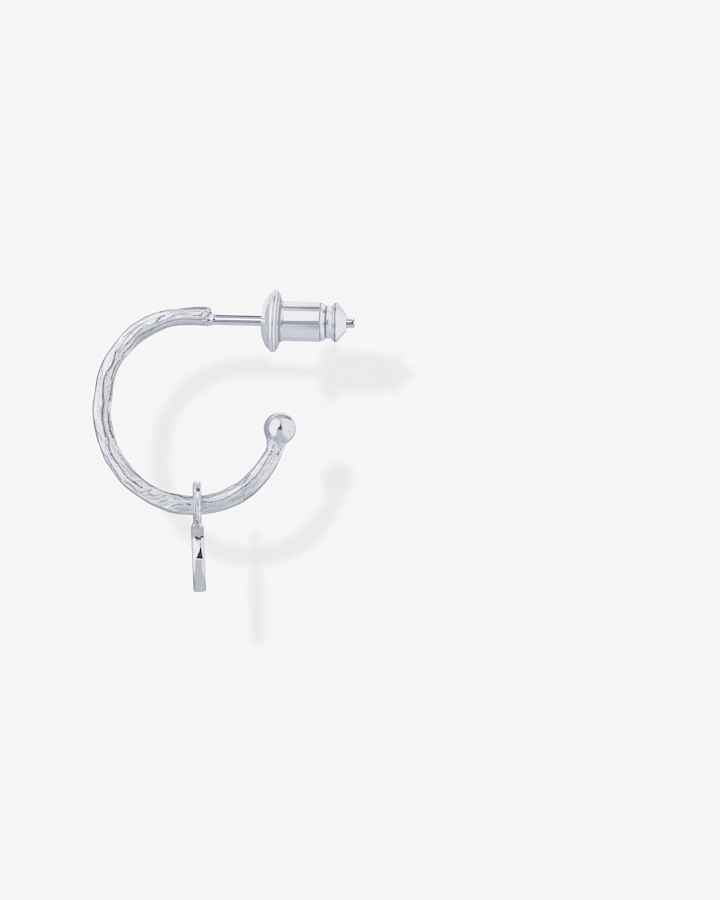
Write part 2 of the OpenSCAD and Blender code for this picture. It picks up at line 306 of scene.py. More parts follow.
def half_width(angle):
    """Half the wire's width in the plane of the hoop."""
    return WIRE_W * column(WIDTH, angle) / 2


def wire_r(angle):
    """Distance of the wire's middle from the hoop's middle."""
    return HOOP_R + WIRE_W * column(SHIFT, angle)


# The hoop's middle, from the wire's end at the ear lobe
LOBE_X = -CLUTCH_X
START_R = wire_r(RUN_START)
HOOP_X = LOBE_X - START_R * cos(radians(RUN_START))
HOOP_Z = POST_DROP - START_R * sin(radians(RUN_START))


def hoop_place(angle, radius):
    """The frame's X and Z of a place in the plane of the hoop, from the hoop's middle."""
    turn = np.radians(angle)
    return HOOP_X + radius * np.cos(turn), HOOP_Z + radius * np.sin(turn)


def smooth(t):
    """0 below 0, 1 above 1, and a soft step between."""
    t = np.clip(t, 0, 1)
    return t * t * (3 - 2 * t)


def between(value, low, rise, high, fall):
    """0 outside low and high, and 1 further in than a soft step as long as rise or fall."""
    return smooth((value - low) / rise) * smooth((high - value) / fall)


def bell(away, reach):
    """1 at no distance, and fading to nothing past the reach."""
    return np.exp(-(away / reach) ** 2)


def full_turn(steps):
    """Even steps once round, in radians."""
    return np.linspace(0, 2 * np.pi, steps, endpoint=False)


def places(*values):
    """Points from their coordinates, each an array or one number for all."""
    return np.stack(np.broadcast_arrays(*values), axis=-1)


def wander(points, scale, seed):
    """Smooth random values of about unit size over points, with bumps of about the given scale."""
    rng = np.random.default_rng(SEED + seed)
    directions = rng.normal(size=(WAVES, points.shape[-1]))
    directions /= np.linalg.norm(directions, axis=1)[:, None]
    rates = directions * (2 * np.pi / scale * rng.uniform(0.5, 1.5, WAVES))[:, None]
    phases = rng.uniform(0, 2 * np.pi, WAVES)
    total = np.zeros(points.shape[:-1])
    for rate, phase in zip(rates, phases):
        total += np.cos(points @ rate + phase)
    return total * sqrt(2 / WAVES)


def new_object(name, data):
    """A new object in the scene."""
    obj = bpy.data.objects.new(name, data)
    bpy.context.scene.collection.objects.link(obj)
    return obj


def new_mesh(name, vertices_mm, faces, material, smooth_angle=35):
    """A mesh object from vertices in millimetres, with sharp edges past smooth_angle."""
    mesh = bpy.data.meshes.new(name)
    mesh.from_pydata((np.asarray(vertices_mm) * MM).tolist(), [], faces)
    mesh.validate()
    mesh.shade_smooth()
    mesh.set_sharp_from_angle(angle=radians(smooth_angle))
    mesh.materials.append(material)
    return new_object(name, mesh)


def vertex_places(obj):
    """The X, Y and Z of an object's vertices, in millimetres."""
    co = np.zeros(len(obj.data.vertices) * 3)
    obj.data.vertices.foreach_get("co", co)
    return co.reshape(-1, 3).T / MM


def grid_faces(rings, around, closed_along=False):
    """The faces that join each ring of points to the next one."""
    faces = []
    for i in range(rings if closed_along else rings - 1):
        a, b = i * around, (i + 1) % rings * around
        for j in range(around):
            k = (j + 1) % around
            faces.append((a + j, a + k, b + k, b + j))
    return faces


def close_ends(vertices, faces, around, ends):
    """Adds a vertex at each end, and the fans of faces that join them to the outermost rings."""
    first, last = len(vertices), len(vertices) + 1
    base = len(vertices) - around
    for j in range(around):
        k = (j + 1) % around
        faces.append((first, k, j))
        faces.append((last, base + j, base + k))
    return np.vstack([vertices, ends])


def lathe(name, profile, segments, material, closed=False):
    """A solid turned about X from rows of length and radius; if closed, the last joins the first,
    and otherwise each end is a fan."""
    profile = np.array(profile)
    x, r = np.repeat(profile, segments, axis=0).T
    t = np.tile(full_turn(segments), len(profile))
    vertices = places(x, r * np.sin(t), r * np.cos(t))
    faces = grid_faces(len(profile), segments, closed)
    if not closed:
        ends = [[profile[0, 0], 0, 0], [profile[-1, 0], 0, 0]]
        vertices = close_ends(vertices, faces, segments, ends)
    return new_mesh(name, vertices, faces, material)


# The least turn of a corner, in radians, that is rounded, and the most of a side that this takes
LEAST_SWEEP = 0.01
SIDE_SHARE = 0.45


def arc(before, corner, after, radius, steps):
    """The points that round a corner of a profile."""
    before, corner, after = (np.array(p[:2], float) for p in (before, corner, after))
    u, v = before - corner, after - corner
    lengths = np.linalg.norm(u), np.linalg.norm(v)
    u, v = u / lengths[0], v / lengths[1]
    half = acos(np.clip(u @ v, -1, 1)) / 2
    sweep = pi - 2 * half
    if sweep < LEAST_SWEEP:
        return [corner]
    run = min(radius / tan(half), SIDE_SHARE * min(lengths))
    r = run * tan(half)
    middle = corner + (u + v) / np.linalg.norm(u + v) * r / sin(half)
    start, end = corner + u * run - middle, corner + v * run - middle
    return [
        middle + (start * sin((1 - t) * sweep) + end * sin(t * sweep)) / sin(sweep)
        for t in (i / steps for i in range(steps + 1))
    ]


def rounded(profile, steps):
    """A profile whose rows hold a length, a radius and the rounding of that corner."""
    rows = []
    for i, p in enumerate(profile):
        if p[2] == 0:
            rows.append(np.array(p[:2], float))
        else:
            rows += arc(profile[i - 1], p, profile[i + 1], p[2], steps)
    return rows


# Materials


NODE_PREFIX = {"SHADER": "ShaderNode", "COMPOSITING": "CompositorNode"}


def add(tree, kind, *inputs, **values):
    """A new node, from its inputs in order and its properties and inputs by name; an input takes
    a value or another node's output."""
    made = tree.nodes.new(NODE_PREFIX[tree.type] + kind)
    for name in [name for name in values if hasattr(made, name)]:
        setattr(made, name, values.pop(name))
    sockets = {i: value for i, value in enumerate(inputs)}
    sockets.update({name.replace("_", " "): value for name, value in values.items()})
    for name, value in sockets.items():
        if isinstance(value, bpy.types.NodeSocket):
            tree.links.new(value, made.inputs[name])
        else:
            made.inputs[name].default_value = value
    return made


def maths(tree, operation, *values):
    """A Math node's output."""
    return add(tree, "Math", *values, operation=operation).outputs[0]


def ramp(tree, factor, stops):
    """A colour ramp's output; the two stops are (place, colour)."""
    made = add(tree, "ValToRGB", factor)
    for element, (place, colour) in zip(made.color_ramp.elements, stops):
        element.position = place
        element.color = (*colour, 1)
    return made.outputs[0]


def layered(tree, under, over, cover):
    """A colour laid over another as far as cover says; each is a colour or another output."""
    made = add(tree, "Mix", cover, data_type="RGBA")
    for value, socket in ((under, made.inputs[6]), (over, made.inputs[7])):
        if isinstance(value, tuple):
            socket.default_value = (*value, 1)
        else:
            tree.links.new(value, socket)
    return made.outputs[2]


def silver(name, colour, roughness, grain_scale, bump, spread=0.06, metallic=1.0):
    """Silver with a fine grain in its bump and tone, stretched by grain_scale. It is darker where
    painted shade and painted reflections are stored, and matt and duller where worn does."""
    material = bpy.data.materials.new(name)
    material.use_nodes = True
    tree = material.node_tree
    shader = tree.nodes["Principled BSDF"]
    shader.inputs["Metallic"].default_value = metallic
    place, worn, painted_darkness = (
        add(tree, "Attribute", attribute_name=stored).outputs[output]
        for stored, output in (("grain", "Vector"), ("worn", "Fac"), ("painted_darkness", "Fac"))
    )
    stretched = add(tree, "Mapping", place, Scale=grain_scale).outputs[0]
    noise = add(tree, "TexNoise", stretched, Scale=1.0, Detail=4.0, Roughness=0.6)
    patches = add(tree, "TexNoise", place, Scale=0.9, Detail=2.0)
    low, high = roughness * (1 - ROUGH_SPREAD), roughness * (1 + ROUGH_SPREAD)
    rough = ramp(tree, patches.outputs["Fac"], [(0.3, (low,) * 3), (0.7, (high,) * 3)])
    rough = maths(tree, "ADD", rough, maths(tree, "MULTIPLY", worn, WORN_ROUGHNESS))
    fine = add(tree, "Bump", Strength=1.0, Distance=bump * MM,
               Height=noise.outputs["Fac"]).outputs[0]
    tones = [(0.38, [c * (1 - spread) for c in colour]), (0.58, colour)]
    tone = ramp(tree, noise.outputs["Fac"], tones)
    tone = layered(tree, tone, WORN_SILVER, worn)
    # Painted shade and painted reflections, laid on as darker silver
    tone = layered(tree, tone, PAINTED_DARK_SILVER, painted_darkness)
    for socket, value in (("Roughness", rough), ("Normal", fine), ("Base Color", tone)):
        tree.links.new(value, shader.inputs[socket])
    return material


def store(obj, name, values, kind="FLOAT"):
    """Keeps a value or a vector for each vertex, for the materials to read."""
    attribute = obj.data.attributes.new(name, kind, "POINT")
    field = "vector" if kind == "FLOAT_VECTOR" else "value"
    attribute.data.foreach_set(field, np.asarray(values, np.float32).ravel())


SILVER = (0.935, 0.94, 0.97)
BRIGHT_SILVER = (0.975, 0.98, 1.0)
DULL_SILVER = (0.86, 0.865, 0.89)
WORN_SILVER = (0.82, 0.825, 0.85)
WORN_ROUGHNESS = 0.35
ROUGH_SPREAD = 0.1
SATIN_SILVER = (0.95, 0.955, 0.98)
# The colour of painted shade and painted reflections
PAINTED_DARK_SILVER = (0.17, 0.17, 0.21)
carved_silver = silver("carved_silver", BRIGHT_SILVER, 0.28, (1.0, 8, 8), 0.06, 0.11)
polished_silver = silver("polished_silver", SILVER, 0.05, (3, 3, 3), 0.002)
ball_silver = silver("ball_silver", DULL_SILVER, 0.19, (3, 3, 3), 0.003)
brushed_silver = silver("brushed_silver", BRIGHT_SILVER, 0.33, (3, 3, 3), 0.004)
disc_silver = silver("disc_silver", DULL_SILVER, 0.06, (14, 1, 1), 0.003)
satin_silver = silver("satin_silver", SATIN_SILVER, 0.08, (3, 3, 3), 0.001, 0.02, metallic=0.52)


# The hoop: one skin of rings round the wire, over the ball, and out along the post

WIRE_RINGS, AROUND = 720, 112
BALL_LATITUDES = np.linspace(-60, 90, 76)
POST_RINGS, TIP_RINGS, SOLDER_RINGS = 60, 6, 14
# The solder's rings with the wire's metal, and where the ball's metal starts, before RUN_END
SOLDER_CARVED, BALL_METAL = 8, 8.2
# How sharp the section's corners are, and where its corners between edge and ridge lie
CORNER_SHARPNESS, EDGE_TURN = 34, 0.34
# A mark's reach as a share of its width, and how many reaches it goes on for
MARK_REACH, MARK_END = 0.55, 3
# The share of the wire's depth over which marks fade in, and how far steep sides narrow them
FRONT_FADE = 0.25
STEEP_GAIN, STEEP_LEAST = 1.6, 0.6
# Ripples all along the wire: how much of its length counts, their size, seed and height
RIPPLES = [(0.6, 1.1, 1, 0.010), (0.12, 0.32, 2, 0.006), (0.10, 0.13, 7, 0.0022)]
# Crinkles by the post and, weaker, by the ball
CRINKLE_SIZE, CRINKLE_H, CRINKLE_FADE = 0.32, 0.026, 0.7
POST_CRINKLE_RUN = 2.5
BALL_CRINKLE, BALL_CRINKLE_RUN = 0.6, (330, 4, 343, 2)
# How uneven the marks' painted darkness is
UNEVEN_MEAN, UNEVEN, UNEVEN_SIZE, UNEVEN_LIMITS = 0.9, 0.25, 0.12, (0.5, 1.2)
# Painted shade: the lowest part of the hoop is a little darker, as less light falls on it
FOOT_SHADE, FOOT_ANGLE, FOOT_HALF, FOOT_FADE = 0.11, 276, 22.4, 14
# How sharply the wire meets the ball, and the runs of its end and of its middle's move
BALL_BLEND, WIRE_END_RUN = 7, 4
MOVE_BEFORE, MOVE_RUN = 5, 4
# The solder keeps the wire's shape for a share of its length and then falls to the post
SOLDER_KEEPS, SOLDER_CURVE = 0.22, 1.2
LUMP_SIZE, LUMP_H = 0.3, 0.045
# Dark spots of painted shade in the solder's pits: their size, where they start, how they fade and
# how dark
PIT_SIZE, PIT_FROM, PIT_FADE, PIT_DARK = 0.28, 0.7, 0.5, 0.75


def section_corners(angle):
    """The eight corners of the carved section at each angle, on a circle of radius 1."""
    back = RUN_START + RUN_END - angle
    front_a, front_b = column(RIDGE_A, angle), column(RIDGE_B, angle)
    back_a, back_b = column(RIDGE_A, back), column(RIDGE_B, back)
    turns = np.radians(places(0, front_a * EDGE_TURN, front_a, front_b, 180, 360 - back_b,
                              360 - back_a, 360 - back_a * EDGE_TURN))
    return places(np.cos(turns), np.sin(turns))


def section_radius(angle, turn):
    """How far the carved section reaches at each turn round the wire, as a share, with its
    corners softened."""
    corners = section_corners(angle)
    sides = np.roll(corners, -1, axis=1) - corners
    normals = places(sides[..., 1], -sides[..., 0])
    normals /= np.linalg.norm(normals, axis=-1, keepdims=True)
    reach = np.sum(normals * corners, axis=-1)
    ways = np.stack([np.cos(turn), np.sin(turn)], axis=0)
    facing = np.clip(normals @ ways / reach[..., None], 0, None)
    return np.sum(facing ** CORNER_SHARPNESS, axis=1) ** (-1 / CORNER_SHARPNESS)


def mark_points(run):
    """A mark's points, as the angle round the hoop and the share of the wire's half width."""
    points = []
    for angle, radius in zip(run[::2], run[1::2]):
        px = HUB_PX[0] + radius * cos(radians(angle))
        py = HUB_PX[1] - radius * sin(radians(angle))
        x, z = photo_to_frame(px, py)
        turn = degrees(atan2(z - HOOP_Z, x - HOOP_X)) % 360
        out = hypot(x - HOOP_X, z - HOOP_Z) - wire_r(turn)
        points.append((turn, out / half_width(turn)))
    return np.array(points)


def far_from(along, across, points):
    """The distance of each place from a run of points, all in millimetres."""
    nearest = np.full(along.shape, np.inf)
    for (a0, b0), (a1, b1) in zip(points[:-1], points[1:]):
        da, db = a1 - a0, b1 - b0
        t = np.clip(((along - a0) * da + (across - b0) * db) / (da * da + db * db), 0, 1)
        away = np.hypot(along - a0 - t * da, across - b0 - t * db)
        nearest = np.minimum(nearest, away)
    return nearest


def carve_side(angle, share, front, facing):
    """The relief of the marks on one side of the wire, in millimetres, and how dark each place is
    painted with shade and reflections; share is how far outwards it is, front is 1 on that side,
    and facing is less where the side is steep, which keeps the marks narrow."""
    relief, dark = np.zeros_like(share), np.zeros_like(share)
    per_degree = radians(1) * HOOP_R
    half_w = half_width(angle)
    for width, depth, darkness, *run in MARKS:
        points = mark_points(run)
        reach = width / PX_PER_MM * MARK_REACH
        margin = MARK_END * reach / per_degree
        low, high = points[:, 0].min() - margin, points[:, 0].max() + margin
        rows = np.flatnonzero((angle > low) & (angle < high))
        along = np.repeat(angle[rows, None] * per_degree, share.shape[1], axis=1)
        across = share[rows] * half_w[rows, None]
        scaled = points * (per_degree, np.mean(half_w[rows]))
        cut = bell(far_from(along, across, scaled) / facing, reach) * front
        relief[rows] += depth * MICRON_IN_MM * cut
        dark[rows] = np.maximum(dark[rows], darkness * cut)
    return relief, dark


def carve(angle, turn, share):
    """The marks on both sides of the wire; the back has them the other way round."""
    outward, front = share * np.cos(turn), np.sin(turn)
    facing = np.clip(STEEP_GAIN * np.abs(front), STEEP_LEAST, 1)
    relief, dark = carve_side(angle, outward, smooth(front / FRONT_FADE), facing)
    back_relief, back_dark = carve_side(
        RUN_START + RUN_END - angle, outward, smooth(-front / FRONT_FADE), facing)
    return relief + back_relief, np.maximum(dark, back_dark)


def wire_stations():
    """The angles of the wire's rings, which go on evenly over the ball to its far pole."""
    end_r = wire_r(RUN_END)
    over_ball = np.degrees(np.arcsin(BALL_D / 2 / end_r * np.sin(np.radians(BALL_LATITUDES))))
    on_wire = np.linspace(RUN_START, RUN_END + over_ball[0], WIRE_RINGS, endpoint=False)
    return np.concatenate([on_wire, RUN_END + over_ball[:-1]])


def straight_wire(angle, turn):
    """Each place of the wire as if it ran straight: along it, outwards and to the front."""
    length = np.cumsum(np.concatenate([[0], np.radians(np.diff(angle)) * HOOP_R]))
    return places(length[:, None], np.cos(turn) * WIRE_W / 2, np.sin(turn) * WIRE_D / 2)


def wire_surface(angle, turn, share, straight):
    """The wire's whole relief, in millimetres, and its painted shade and reflections at each place.
    """
    relief, dark = carve(angle, turn, share)
    for drawn_out, size, seed, height in RIPPLES:
        relief = relief + wander(straight * (drawn_out, 1, 1), size, seed) * height
    near_ball = BALL_CRINKLE * between(angle, *BALL_CRINKLE_RUN)
    near_post = 1 - smooth((angle - RUN_START) / POST_CRINKLE_RUN)
    crinkle = wander(straight, CRINKLE_SIZE, 3) * CRINKLE_H * (near_ball + near_post)[:, None]
    relief = relief + crinkle * smooth(np.abs(np.sin(turn)) / CRINKLE_FADE)
    uneven = UNEVEN_MEAN + UNEVEN * wander(straight * (0.7, 1, 1), UNEVEN_SIZE, 10)
    dark = np.minimum(dark * np.clip(uneven, *UNEVEN_LIMITS), 1)
    # Painted shade on the lowest part of the hoop
    foot = FOOT_SHADE * smooth((FOOT_HALF - np.abs(angle - FOOT_ANGLE)) / FOOT_FADE)
    return relief, np.maximum(dark, foot[:, None])


def ball_radius(angle, turn):
    """How far the ball reaches in the plane of each ring, and how far the ring's middle has moved
    from the wire's towards the ball's."""
    end_r = wire_r(RUN_END)
    off = np.radians(angle - RUN_END)
    inside = (BALL_D / 2) ** 2 - (end_r * np.sin(off)) ** 2
    circle = np.sqrt(np.clip(inside, 0, None))
    out = end_r * np.cos(off) - wire_r(angle)
    moved = out * smooth((angle - RUN_END + MOVE_BEFORE) / MOVE_RUN)
    out = out - moved
    across = (circle ** 2)[:, None] - (out[:, None] * np.sin(turn)) ** 2
    reach = out[:, None] * np.cos(turn) + np.sqrt(np.clip(across, 0, None))
    met = (inside > 0) & (np.abs(off) < 1)
    return np.where(met[:, None], reach, 0), moved


def wire_rings(angle, turn, share, relief):
    """The rings over the wire and the ball, and which of their places are on the ball."""
    across = (share * half_width(angle)[:, None] + relief) * np.cos(turn)
    deep = (share * WIRE_D / 2 + relief) * np.sin(turn)
    section = np.hypot(across, deep)
    wire = section * (1 - smooth((angle - RUN_END) / WIRE_END_RUN + 0.5))[:, None]
    ball, moved = ball_radius(angle, turn)
    scale = (wire ** BALL_BLEND + ball ** BALL_BLEND) ** (1 / BALL_BLEND) / section
    radial = (wire_r(angle) + moved)[:, None] + across * scale
    x, z = hoop_place(angle[:, None], radial)
    return places(x, -deep * scale, z), ball > wire


def post_ring(x, radius, turn):
    """A round ring of points about the post's axis."""
    return places(x, -radius * np.sin(turn), radius * np.cos(turn))


def post_rings(turn):
    """The rings of the post, from its bevelled tip to the solder."""
    bevel = [
        post_ring(TIP_X - POST_BEVEL * (1 - sin(t)),
                  POST_D / 2 - POST_BEVEL * (1 - cos(t)), turn)
        for t in np.linspace(pi / 2, 0, TIP_RINGS)
    ]
    shaft = np.linspace(TIP_X - POST_BEVEL, LOBE_X + SOLDER_L, POST_RINGS)[1:]
    return bevel + [post_ring(x, POST_D / 2, turn) for x in shaft]


def solder_rings(wire_end, turn):
    """The rings of the solder, from the post to the wire, square to X, and how dark each place is
    painted with shade in its pits."""
    first = wire_end - [LOBE_X, 0, POST_DROP]
    rings, dark = [], []
    for share in np.linspace(0, 1, SOLDER_RINGS, endpoint=False)[:0:-1]:
        fall = max(0, (share - SOLDER_KEEPS) / (1 - SOLDER_KEEPS)) ** SOLDER_CURVE
        ring = first * (1 - fall) + post_ring(0, POST_D / 2, turn) * fall
        ring[:, 0] = LOBE_X + SOLDER_L * share + (1 - share) * first[:, 0]
        ring[:, 2] += POST_DROP * (1 - fall)
        swell = sin(pi * share)
        lump = wander(ring, LUMP_SIZE, 4) * LUMP_H * swell
        ring[:, 1:] *= (1 + lump)[:, None]
        # Painted shade in the solder's pits
        pits = smooth((wander(ring, PIT_SIZE, 9) - PIT_FROM) / PIT_FADE) * PIT_DARK
        rings.append(ring)
        dark.append(pits * swell)
    return rings, dark


def make_hoop():
    """The hoop in one skin, from the tip of the post to the far pole of the ball."""
    turn, angle = full_turn(AROUND), wire_stations()
    share, straight = section_radius(angle, turn), straight_wire(angle, turn)
    relief, dark = wire_surface(angle, turn, share, straight)
    rings, on_ball = wire_rings(angle, turn, share, relief)
    post = post_rings(turn)
    solder, pits = solder_rings(rings[0], turn)
    before = np.array(post + solder)
    vertices = np.concatenate([before, rings]).reshape(-1, 3)
    faces = grid_faces(len(before) + len(rings), AROUND)
    ball_turn = asin(BALL_D / 2 / wire_r(RUN_END))
    x, z = hoop_place(RUN_END + degrees(ball_turn), wire_r(RUN_END) * cos(ball_turn))
    ends = [[TIP_X, 0, 0], [x, 0, z]]
    vertices = close_ends(vertices, faces, AROUND, ends)
    hoop = new_mesh("carved_hoop", vertices, faces, carved_silver, 50)
    hoop.data.materials.append(polished_silver)
    hoop.data.materials.append(ball_silver)
    kinds = np.zeros(len(hoop.data.polygons), np.int32)
    kinds[:(len(before) - SOLDER_CARVED) * AROUND] = 1
    kinds[(len(before) + int(np.argmax(angle > RUN_END - BALL_METAL))) * AROUND:] = 2
    hoop.data.polygons.foreach_set("material_index", kinds)
    grain = np.concatenate([before, straight]).reshape(-1, 3)
    store(hoop, "grain", np.vstack([grain, ends]), "FLOAT_VECTOR")
    # Painted reflections along the post's front
    lines = np.max([
        darkness * bell(np.degrees(turn) - at, POST_REFLECTION_W) for at, darkness in POST_REFLECTIONS
    ], axis=0)
    # Painted reflections on the post, painted shade in the solder's pits, and painted shade and
    # reflections on the wire
    painted_darkness = np.concatenate([[lines] * len(post), pits, np.where(on_ball, 0, dark)]).ravel()
    painted_darkness = np.concatenate([painted_darkness, [0, 0]])
    # Painted reflections: dark dots on the ball
    for px, py, darkness in BALL_REFLECTIONS:
        x, z = photo_to_frame(px, py)
        far = np.hypot(vertices[:, 0] - x, vertices[:, 2] - z)
        painted_darkness = np.maximum(painted_darkness, darkness * bell(far, BALL_REFLECTION_R))
    store(hoop, "painted_darkness", painted_darkness)
    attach(hoop, "hoop")
    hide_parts("hoop")


# The charm: its ring, its disc and the solder between them

RING_STEPS, RING_AROUND = 300, 84
RING_SQUARENESS = 2.6
RING_LUMPS, RING_LINES_H = 0.02, 0.006
DISC_AROUND, DISC_ROUND = 512, 8
RIM_CROWN_R = 1.4
RIM_ROWS = 41
RIM_EDGE = 0.13
# The rows of the disc's faces, and how far in the rim goes from its edge and its faces
FACE_ROWS_R = [0.4, 1.2, 2.0]
RIM_DEPTH, RIM_IN = 0.16, 0.03
MATT_FADE = 0.05
# Painted reflections, as dark lines along the rim's edges: how far in, how wide, and how dark the
# two are
LINE_IN, LINE_W, EDGE_REFLECTIONS_DARK = 0.04, 0.03, (0.35, 0.15)
SEAT_ROWS, SEAT_AROUND = 24, 64
SEAT_BELOW, SEAT_ABOVE = 0.3, 0.1
SEAT_WAIST, WAIST_FROM, WAIST_RUN = 0.25, -0.02, 0.2
SEAT_LUMPS = 0.09


def charm_place():
    """Where the charm's own frame sits: the hoop's wire passes its origin."""
    x, z = hoop_place(RING_ANGLE, wire_r(RING_ANGLE))
    return (
        Matrix.Translation(Vector((x, 0, z)) * MM)
        @ Matrix.Rotation(radians(CHARM_TURN), 4, "Z")
        @ Matrix.Rotation(radians(-RING_LEAN), 4, "Y")
    )


def disc_place():
    """Where the disc's own frame sits: its top is at the origin."""
    seat_z = RING_RISE - RING_INNER_R - RING_WIRE_D + RING_SINK
    return (
        charm_place()
        @ Matrix.Translation(Vector((0, 0, seat_z)) * MM)
        @ Matrix.Rotation(radians(RING_LEAN - DISC_LEAN), 4, "Y")
    )


def settle(obj, matrix, body):
    """Puts a piece in place in its own mesh, and makes it ride and stand for its node."""
    store(obj, "grain", vertex_places(obj).T, "FLOAT_VECTOR")
    obj.data.transform(matrix)
    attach(obj, body)
    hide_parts(body)


def on_charm(run, matrix):
    """Pixels of the photograph as X and Z, in millimetres, in the frame of a charm's piece."""
    inverse = matrix.inverted()
    points = []
    for px, py in zip(run[::2], run[1::2]):
        x, z = photo_to_frame(
            PHOTO_W / 2 + (px - PHOTO_W / 2) / CHARM_NEARER,
            PHOTO_H / 2 + (py - PHOTO_H / 2) / CHARM_NEARER,
        )
        local = inverse @ (Vector((x, 0, z)) * MM) / MM
        points.append((local.x, local.z))
    return np.array(points)


def charm_shade_and_reflections(obj, matrix, marks):
    """How dark each place of a charm's piece is painted with shade and reflections from its marks,
    on the front only.
    """
    x, y, z = vertex_places(obj)
    dark = np.zeros(len(x))
    for width, darkness, *run in marks:
        far = far_from(x, z, on_charm(run, matrix))
        dark = np.maximum(dark, darkness * np.exp(-(far * PX_PER_MM / width * 2) ** 4))
    return dark * (y < 0)


def make_ring():
    """The bail ring: its front and back a little flattened, with fine lines along its run."""
    u, v = full_turn(RING_STEPS)[:, None], full_turn(RING_AROUND)[None, :]
    power = RING_SQUARENESS
    section = (np.abs(np.cos(v)) ** power + np.abs(np.sin(v)) ** power) ** (-1 / power)
    r = RING_WIRE_D / 2 * section / section.max()
    lumps = wander(places(np.cos(u) * 1.3, np.sin(u) * 1.3, v / 3), 0.4, 5)
    r = r * (1 - RING_LUMPS + RING_LUMPS * lumps)
    along = places(np.cos(u) * 0.2, np.sin(u) * 0.2, np.cos(v) * 0.35, np.sin(v) * 0.35)
    r = r + RING_LINES_H * wander(along, 0.17, 8)
    out = RING_INNER_R + RING_WIRE_D / 2 + r * np.cos(v)
    rise = RING_RISE + RING_TALLER * np.clip(np.cos(u), 0, 1) ** 2
    vertices = places(r * np.sin(v), out * np.sin(u), rise + out * np.cos(u)).reshape(-1, 3)
    faces = grid_faces(RING_STEPS, RING_AROUND, closed_along=True)
    obj = new_mesh("bail_ring", vertices, faces, brushed_silver, 60)
    # Painted shade and painted reflections on the ring's front
    store(obj, "painted_darkness", charm_shade_and_reflections(obj, charm_place(), RING_SHADE_AND_REFLECTIONS))
    settle(obj, charm_place(), "charm")


def make_disc():
    """The disc, with a slightly crowned rim, softened edges and a matt patch by the solder."""
    half = DISC_T / 2
    rim = [
        (x, DISC_D / 2 - (RIM_CROWN_R - sqrt(RIM_CROWN_R ** 2 - x ** 2)))
        for x in np.linspace(-half, half, RIM_ROWS)
    ]
    skip = 1 + int(RIM_EDGE / DISC_T * RIM_ROWS)
    profile = [(-half, r, 0) for r in FACE_ROWS_R] + [(*rim[0], RIM_EDGE)]
    profile += [(*p, 0) for p in rim[skip:-skip]]
    profile += [(*rim[-1], RIM_EDGE)] + [(half, r, 0) for r in reversed(FACE_ROWS_R)]
    obj = lathe("charm_disc", rounded(profile, DISC_ROUND), DISC_AROUND, disc_silver)
    matrix = disc_place() @ Matrix.Translation((0, 0, -DISC_D / 2 * MM))
    x, y, z = vertex_places(obj)
    # Painted shade and painted reflections on the disc's front
    dark = charm_shade_and_reflections(obj, matrix, DISC_SHADE_AND_REFLECTIONS)
    # Painted reflections along the rim's two edges
    for side, darkness in zip((-1, 1), EDGE_REFLECTIONS_DARK):
        dark = np.maximum(dark, darkness * bell(x - side * (half - LINE_IN), LINE_W))
    ends = on_charm(MATT_END, matrix)
    matt = smooth((z - np.interp(x, ends[:, 0], ends[:, 1])) / MATT_FADE + 0.5)
    on_rim = (np.hypot(y, z) > DISC_D / 2 - RIM_DEPTH) * (np.abs(x) < half - RIM_IN)
    store(obj, "painted_darkness", dark * on_rim)
    store(obj, "worn", matt * on_rim)
    settle(obj, matrix, "charm")


def make_seat():
    """The lump of solder that joins the ring to the disc."""
    turn = full_turn(SEAT_AROUND)
    rings = []
    for z in np.linspace(-SEAT_BELOW, SEAT_H + SEAT_ABOVE, SEAT_ROWS):
        r = SEAT_D / 2 * (1 - SEAT_WAIST * smooth((z - WAIST_FROM) / WAIST_RUN))
        ring = places(r * np.cos(turn), r * np.sin(turn), z)
        ring[:, :2] *= (1 + SEAT_LUMPS * wander(ring, 0.3, 6))[:, None]
        rings.append(ring)
    faces = grid_faces(SEAT_ROWS, SEAT_AROUND)
    top = (SEAT_ROWS - 1) * SEAT_AROUND
    faces.append(tuple(range(SEAT_AROUND))[::-1])
    faces.append(tuple(range(top, top + SEAT_AROUND)))
    obj = new_mesh("solder_seat", np.concatenate(rings), faces, brushed_silver, 60)
    settle(obj, disc_place(), "charm")


CLUTCH_AROUND, CLUTCH_ROUND = 256, 10


